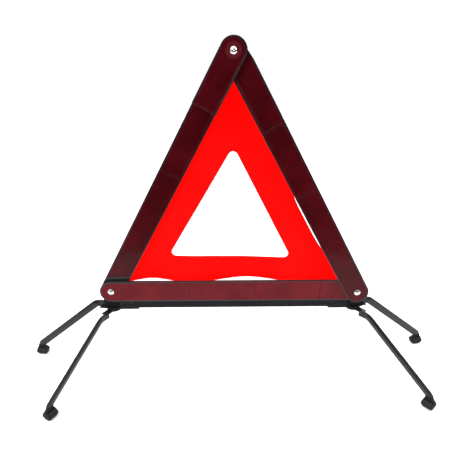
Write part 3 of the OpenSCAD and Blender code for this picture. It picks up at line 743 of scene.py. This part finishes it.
LEG_HEIGHT = 12 * MM
LEG_SHEET = 1.5 * MM
LEG_CROWN = 1.7 * MM
LEG_RIDGE = 0.15
FRONT_SLOPE = math.radians(35)
BACK_SLOPE = math.radians(39)
ROOT_RADIUS = 18 * MM
FOOT_RADIUS = 9 * MM
FRONT_FLAT = 26 * MM
BACK_FLAT = 24 * MM
BLADE_START = 14 * MM
BLADE_STEP = 0.3 * MM
EYE_RADIUS = 12 * MM
TAB_REACH = 24 * MM
SWIVEL_RADIUS = 3.05 * MM
CAP_SOLE = 3.5 * MM
CROSS_STEPS = 8
BEND_STEPS = 8
FALL_STEPS = 12


def leg_line(run, flat, fall_angle, end_z):
    """Points and slopes down the middle of a leg's blade, from its root to its end in the cap."""
    stations = [(Vector((BLADE_START, 0)), 0.0), (Vector((flat, 0)), 0.0)]
    root_hub = Vector((flat, -ROOT_RADIUS))
    for step in range(1, BEND_STEPS + 1):
        slope = fall_angle * step / BEND_STEPS
        turned = Vector((math.sin(slope), math.cos(slope)))
        stations.append((root_hub + ROOT_RADIUS * turned, slope))
    start = stations[-1][0]
    fall = Vector((math.cos(fall_angle), -math.sin(fall_angle)))
    reach = (run - FOOT_RADIUS * (1 - math.sin(fall_angle)) - start.x) / math.cos(fall_angle)
    for step in range(1, FALL_STEPS + 1):
        stations.append((start + fall * reach * step / FALL_STEPS, fall_angle))
    foot_hub = stations[-1][0] - FOOT_RADIUS * Vector((math.sin(fall_angle), math.cos(fall_angle)))
    for step in range(1, BEND_STEPS + 1):
        slope = fall_angle + (math.pi / 2 - fall_angle) * step / BEND_STEPS
        turned = Vector((math.sin(slope), math.cos(slope)))
        stations.append((foot_hub + FOOT_RADIUS * turned, slope))
    stations.append((Vector((run, end_z)), math.pi / 2))
    return stations


def ridge(share):
    """Height of the blade's pressed ridge, from 0 at its edges to 1 on the ridge line."""
    reach = 1 + LEG_RIDGE if share < LEG_RIDGE else 1 - LEG_RIDGE
    return 1 - smooth_step(0, 1, abs(share - LEG_RIDGE) / reach) * 0.5 - 0.5 * abs(
        share - LEG_RIDGE) / reach


def leg_blade(bm, stations, middle_z, side):
    """An upright strip along the leg's line, pressed into a ridge that swells to one side."""
    last = len(stations) - 1
    before = None
    for i, (spot, slope) in enumerate(stations):
        arch = smooth_step(0, 6, i) * (1 - smooth_step(last - 6, last - 1, i))
        section = []
        for face_side in (LEG_SHEET / 2, -LEG_SHEET / 2):
            row = []
            for step in range(CROSS_STEPS + 1):
                share = 2 * step / CROSS_STEPS - 1
                above = share * LEG_HEIGHT / 2
                across = side * LEG_CROWN * arch * ridge(share) + face_side
                row.append(bm.verts.new((spot.x + above * math.sin(slope), across,
                                         middle_z + spot.y + above * math.cos(slope))))
            section += row if face_side > 0 else row[::-1]
        ring = section + section[:1]
        if before:
            for a, b, c, d in zip(before, before[1:], ring[1:], ring):
                bm.faces.new((a, b, c, d))
        else:
            bm.faces.new(section)
        before = ring
    bm.faces.new(before[:-1])


def leg_tab(bm):
    """The flat tab at a leg's root: a round eye with its swivel hole, drawn out under the blade."""
    half = LEG_HEIGHT / 2
    first = math.asin(half / EYE_RADIUS)
    steps = 40
    outline = [bm.verts.new((TAB_REACH, half, 0))]
    for step in range(steps + 1):
        turn = first + (math.tau - 2 * first) * step / steps
        outline.append(bm.verts.new((EYE_RADIUS * math.cos(turn), EYE_RADIUS * math.sin(turn), 0)))
    outline.append(bm.verts.new((TAB_REACH, -half, 0)))
    rim = [bm.edges.new(pair) for pair in zip(outline, outline[1:] + outline[:1])]
    hole = bmesh.ops.create_circle(bm, cap_ends=False, radius=SWIVEL_RADIUS, segments=48)["verts"]
    bore = list({edge for vertex in hole for edge in vertex.link_edges})
    faces = bmesh.ops.bridge_loops(bm, edges=rim + bore)["faces"]
    grown = bmesh.ops.extrude_face_region(bm, geom=faces)["geom"]
    lowered = [item for item in grown if isinstance(item, bmesh.types.BMVert)]
    bmesh.ops.translate(bm, verts=lowered, vec=(0, 0, -LEG_SHEET))


def leg_strut(node, cap):
    """A steel leg: a flat eye, and an upright pressed blade that bends down into its cap."""
    swivel = joint_place(node + "_swivel")
    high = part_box(node)[1]
    foot = middle(cap)
    heading = math.atan2(foot.y - swivel.y, foot.x - swivel.x)
    run = math.hypot(foot.y - swivel.y, foot.x - swivel.x)
    if node.startswith("front"):
        flat, fall_angle, middle_z = FRONT_FLAT, FRONT_SLOPE, -BLADE_STEP - LEG_HEIGHT / 2
        tab_z = high.z
    else:
        flat, fall_angle, middle_z = BACK_FLAT, BACK_SLOPE, LEG_HEIGHT / 2 + BLADE_STEP - LEG_SHEET
        tab_z = high.z - middle_z - LEG_HEIGHT / 2
    outer_side = 1 if "left" in node else -1
    line = leg_line(run, flat, fall_angle, CAP_SOLE - tab_z - middle_z)
    bm = bmesh.new()
    leg_blade(bm, line, middle_z, outer_side)
    leg_tab(bm)
    bmesh.ops.recalc_face_normals(bm, faces=bm.faces)
    place = Matrix.Translation((swivel.x, swivel.y, tab_z)) @ Matrix.Rotation(heading, 4, "Z")
    bmesh.ops.transform(bm, matrix=place, verts=bm.verts)
    material = painted_steel("steel_" + node, (0.0035, 0.0035, 0.0050), 0.3, 0.3, -heading,
                             (swivel.x, swivel.y, swivel.z))
    piece = finish_piece(bm, node.replace("leg", "strut"), material, node + "_body")
    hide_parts(node)
    return soften(piece, 0.3 * MM)


# ---------------------------------------------------------------- foot caps

CAP_WIDTH = 15 * MM
CAP_DEPTH = 18 * MM


def foot_boot(node):
    """A rubber boot: hexagonal from the front, with a collar round the leg and a bevelled sole."""
    cap = LEGS[node]
    swivel = joint_place(node + "_swivel")
    low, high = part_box(cap)
    foot = middle(cap)
    heading = math.atan2(foot.y - swivel.y, foot.x - swivel.x)
    height = high.z - low.z
    rings = [
        (0.0, 0.74, 0.60), (0.08, 0.86, 0.72), (0.36, 1.0, 1.0), (0.60, 1.0, 1.0),
        (0.98, 0.84, 0.62), (1.0, 0.74, 0.36), (1.3, 0.72, 0.34),
    ]
    bm = bmesh.new()
    bmesh.ops.create_grid(bm, x_segments=1, y_segments=1, size=0.5)
    face = bm.faces[:][0]
    bmesh.ops.scale(bm, vec=(CAP_DEPTH * rings[0][1], CAP_WIDTH * rings[0][2], 1), verts=bm.verts)
    for (z0, d0, w0), (z1, d1, w1) in zip(rings, rings[1:]):
        grown = bmesh.ops.extrude_face_region(bm, geom=[face])["geom"]
        face = next(item for item in grown if isinstance(item, bmesh.types.BMFace))
        bmesh.ops.translate(bm, verts=face.verts, vec=(0, 0, (z1 - z0) * height))
        bmesh.ops.scale(bm, vec=(d1 / d0, w1 / w0, 1), verts=face.verts)
    bmesh.ops.recalc_face_normals(bm, faces=bm.faces)
    upright = [edge for edge in bm.edges
               if abs(edge.verts[0].co.z - edge.verts[1].co.z) > 0.9 * MM]
    bmesh.ops.bevel(bm, geom=upright, offset=1.8 * MM, segments=3, profile=0.5,
                    affect="EDGES", material=-1)
    place = Matrix.Translation((foot.x, foot.y, low.z)) @ Matrix.Rotation(heading, 4, "Z")
    bmesh.ops.transform(bm, matrix=place, verts=bm.verts)
    piece = finish_piece(bm, cap.replace("cap", "boot"), CAP_RUBBER, node + "_body")
    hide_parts(cap)
    return soften(piece, 0.45 * MM, angle=20)


# ---------------------------------------------------------------- studio

CAMERA_PLACE = (-0.00957, -0.5330, 0.4808)
CAMERA_TILT = 21.55
CAMERA_ROLL = -0.42
CAMERA_LENS = 31.85


def make_camera():
    camera = bpy.data.objects.new("camera", bpy.data.cameras.new("camera"))
    camera.data.lens = CAMERA_LENS
    camera.data.sensor_width = 36
    camera.data.clip_start = 0.02
    camera.data.clip_end = 50
    tilt = Matrix.Rotation(math.radians(90 - CAMERA_TILT), 4, "X")
    roll = Matrix.Rotation(math.radians(CAMERA_ROLL), 4, "Z")
    camera.matrix_world = Matrix.Translation(CAMERA_PLACE) @ tilt @ roll
    bpy.context.scene.collection.objects.link(camera)
    bpy.context.scene.camera = camera


def make_floor():
    """A pale table top that ends in front of the object."""
    bm = bmesh.new()
    bmesh.ops.create_grid(bm, x_segments=1, y_segments=1, size=1.0)
    bmesh.ops.scale(bm, vec=(3.0, 2.2, 1), verts=bm.verts)
    bmesh.ops.translate(bm, vec=(0, 1.8, 0), verts=bm.verts)
    mesh = bpy.data.meshes.new("floor")
    bm.to_mesh(mesh)
    bm.free()
    floor = bpy.data.objects.new("floor", mesh)
    bpy.context.scene.collection.objects.link(floor)
    give(floor, floor_paper("floor_paper"))


def soft_box(name, place, target, size, power):
    light = bpy.data.lights.new(name, "AREA")
    light.shape = "RECTANGLE"
    light.size, light.size_y = size
    light.energy = power
    lamp = bpy.data.objects.new(name, light)
    lamp.location = place
    lamp.rotation_euler = (Vector(target) - Vector(place)).to_track_quat("-Z", "Y").to_euler()
    bpy.context.scene.collection.objects.link(lamp)


def make_lights():
    """Soft light from above and both sides, in a room that is dark at eye height."""
    sun = bpy.data.lights.new("overhead", "SUN")
    sun.energy = 3.6
    sun.angle = math.radians(70)
    lamp = bpy.data.objects.new("overhead", sun)
    lamp.rotation_euler = (math.radians(8), math.radians(-4), 0)
    bpy.context.scene.collection.objects.link(lamp)
    soft_box("left_box", (-1.3, -1.0, 1.3), (0, 0, 0.25), (0.9, 0.9), 22)
    soft_box("right_box", (1.4, -0.8, 1.2), (0, 0, 0.25), (0.7, 0.9), 12)
    soft_box("back_box", (0.3, 1.6, 1.5), (0, 0, 0.25), (1.2, 0.8), 14)
    world = bpy.data.worlds.new("studio")
    bpy.context.scene.world = world
    world.use_nodes = True
    tree = world.node_tree
    w = Wiring(tree)
    white = tree.nodes["Background"]
    white.inputs["Color"].default_value = (1, 1, 1, 1)
    white.inputs["Strength"].default_value = 1.05
    direction = w.node("ShaderNodeTexCoord").outputs["Generated"]
    height = w.node("ShaderNodeSeparateXYZ", Vector=direction).outputs["Z"]
    glow = w.remap(height, 0.1, 0.9, 0.03, 0.5)
    room = w.node("ShaderNodeBackground", Strength=glow)
    seen = w.node("ShaderNodeLightPath").outputs["Is Camera Ray"]
    choice = tree.nodes.new("ShaderNodeMixShader")
    tree.links.new(seen, choice.inputs[0])
    tree.links.new(room.outputs[0], choice.inputs[1])
    tree.links.new(white.outputs[0], choice.inputs[2])
    tree.links.new(choice.outputs[0], tree.nodes["World Output"].inputs["Surface"])


# ---------------------------------------------------------------- the object

make_camera()
make_floor()
make_lights()
bpy.context.scene.view_settings.view_transform = "Standard"

dress_frame_nodes()
rimmed_lens("base_lens", LENS_BASE, "base")
rimmed_lens("left_arm_lens", LENS_LEFT, "left_arm")
rimmed_lens("right_arm_lens", LENS_RIGHT, "right_arm")
rimmed_lens("apex_catch_lens", LENS_CATCH, "left_arm")
warning_panel()
for leg, cap in LEGS.items():
    leg_strut(leg, cap)
    foot_boot(leg)
